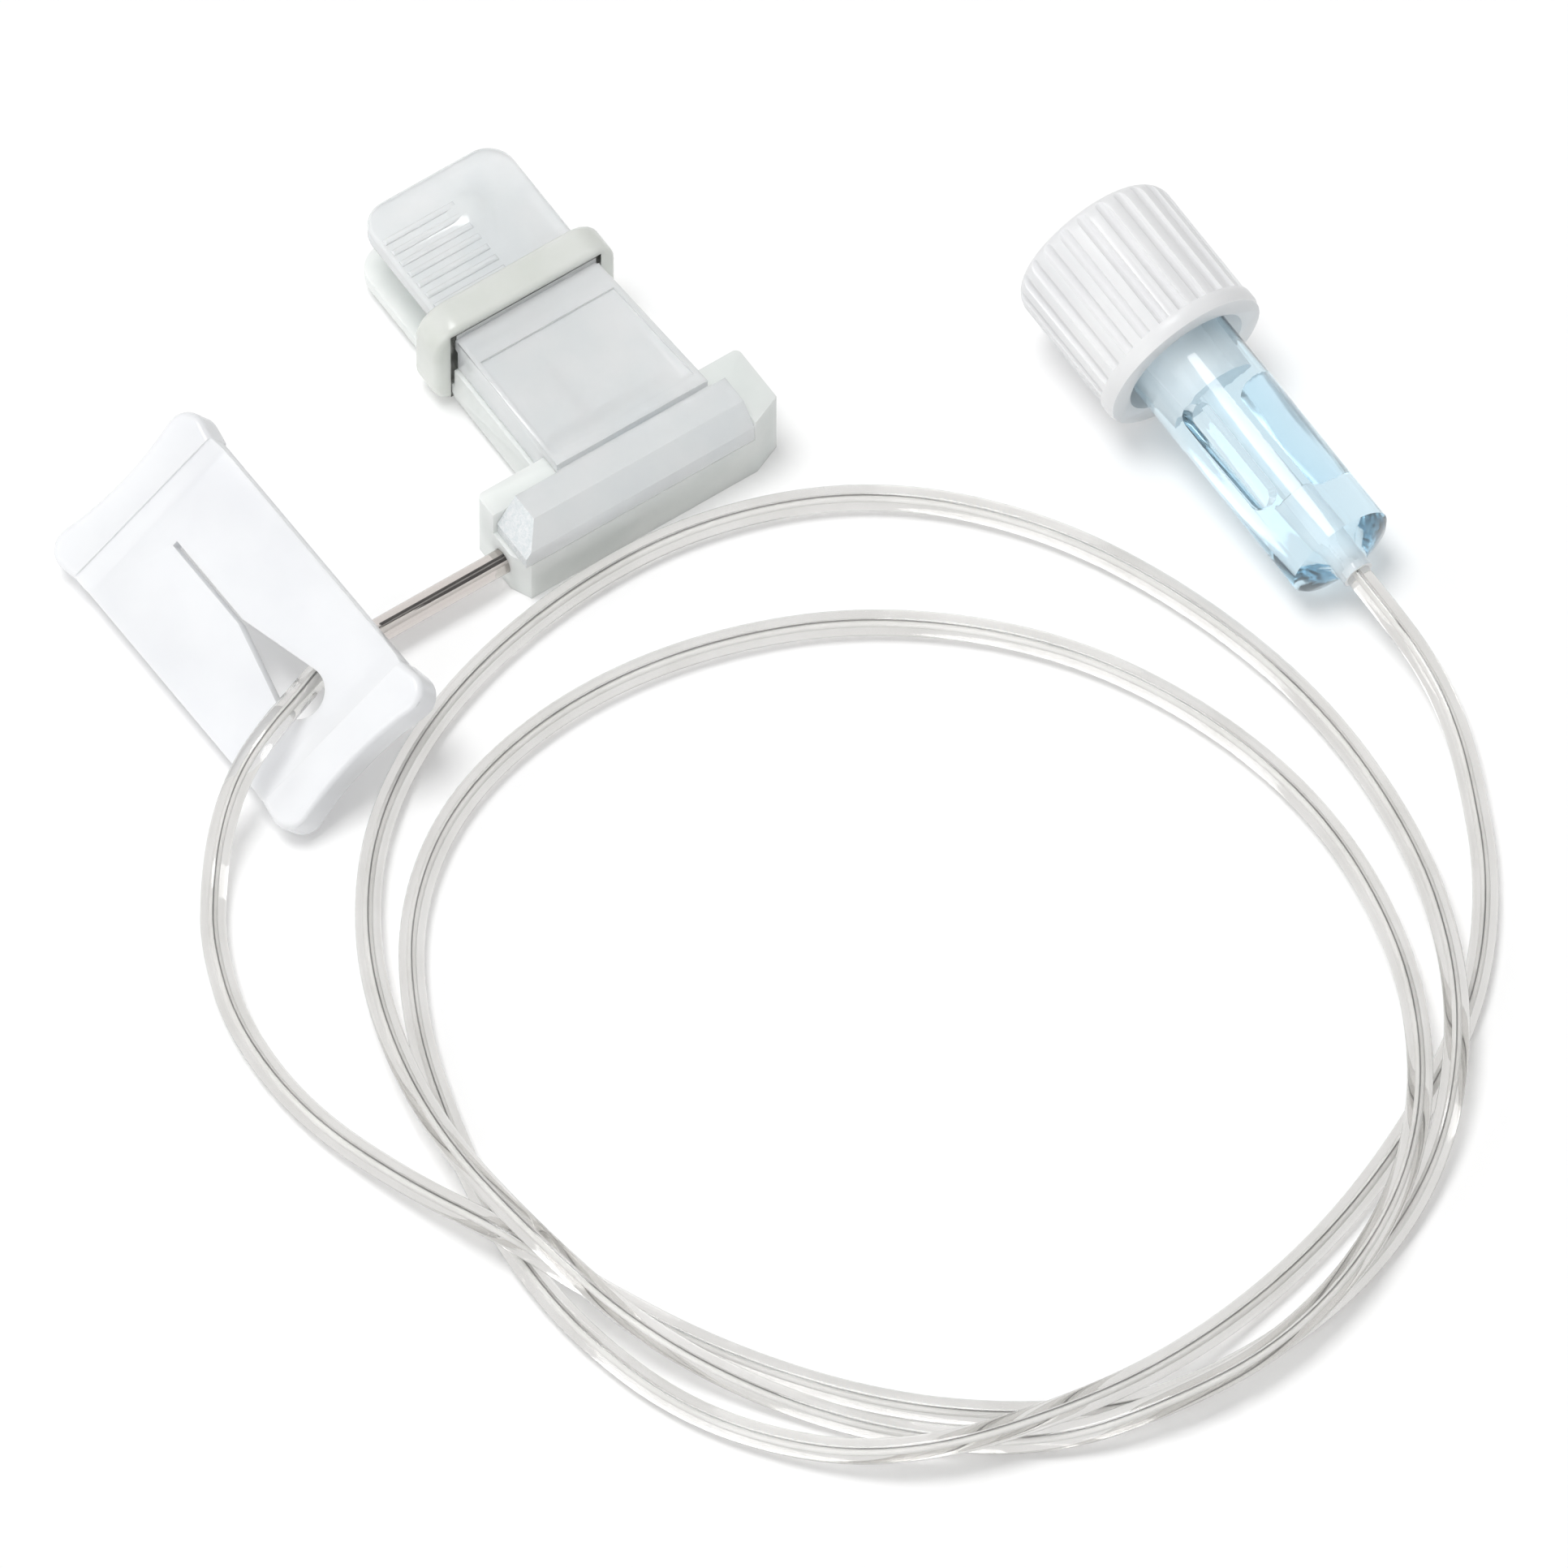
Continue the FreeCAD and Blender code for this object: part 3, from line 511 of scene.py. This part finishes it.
def add_table():
    mesh = bpy.data.meshes.new("table")
    shape = bmesh.new()
    bmesh.ops.create_grid(shape, x_segments=1, y_segments=1, size=TABLE_SIZE)
    shape.to_mesh(mesh)
    shape.free()
    table = bpy.data.objects.new("table", mesh)
    table.location.z = -TABLE_DROP
    scene.collection.objects.link(table)
    material, tree, shader = new_material("table_white")
    shader.inputs["Base Color"].default_value = WHITE
    shader.inputs["Roughness"].default_value = 0.9
    shader.inputs["Specular IOR Level"].default_value = 0.1
    # Seen through clear plastic, the table is plain white
    rays = tree.nodes.new("ShaderNodeLightPath")
    plain = tree.nodes.new("ShaderNodeEmission")
    plain.inputs["Color"].default_value = WHITE
    plain.inputs["Strength"].default_value = TABLE_THROUGH_PLASTIC
    seen = tree.nodes.new("ShaderNodeMixShader")
    tree.links.new(rays.outputs["Is Transmission Ray"], seen.inputs["Fac"])
    tree.links.new(shader.outputs["BSDF"], seen.inputs[1])
    tree.links.new(plain.outputs["Emission"], seen.inputs[2])
    tree.links.new(seen.outputs["Shader"], tree.nodes["Material Output"].inputs["Surface"])
    mesh.materials.append(material)


def either(tree, first, second):
    larger = tree.nodes.new("ShaderNodeMath")
    larger.operation = "MAXIMUM"
    tree.links.new(first, larger.inputs[0])
    tree.links.new(second, larger.inputs[1])
    return larger.outputs[0]


def add_world():
    # Bright where it is seen, mirrored or seen through plastic, and softer as a light
    world = scene.world or bpy.data.worlds.new("world")
    scene.world = world
    world.use_nodes = True
    tree = world.node_tree
    back = tree.nodes["Background"]
    back.inputs["Color"].default_value = WHITE
    rays = tree.nodes.new("ShaderNodeLightPath")
    seen = either(tree, rays.outputs["Is Camera Ray"], rays.outputs["Is Glossy Ray"])
    seen = either(tree, seen, rays.outputs["Is Transmission Ray"])
    level = tree.nodes.new("ShaderNodeMapRange")
    level.inputs["To Min"].default_value = WORLD_LIGHT
    level.inputs["To Max"].default_value = WORLD_SEEN
    tree.links.new(seen, level.inputs["Value"])
    tree.links.new(level.outputs["Result"], back.inputs["Strength"])


def add_lamps():
    for name, strength, direction, spread, shadow in LAMPS:
        data = bpy.data.lights.new(name, "SUN")
        data.energy = strength
        data.angle = math.radians(spread)
        data.use_shadow = shadow
        lamp = bpy.data.objects.new(name, data)
        lamp.rotation_euler = Vector(direction).to_track_quat("-Z", "Y").to_euler()
        scene.collection.objects.link(lamp)


add_table()
add_world()
add_lamps()
scene.view_settings.view_transform = "Standard"
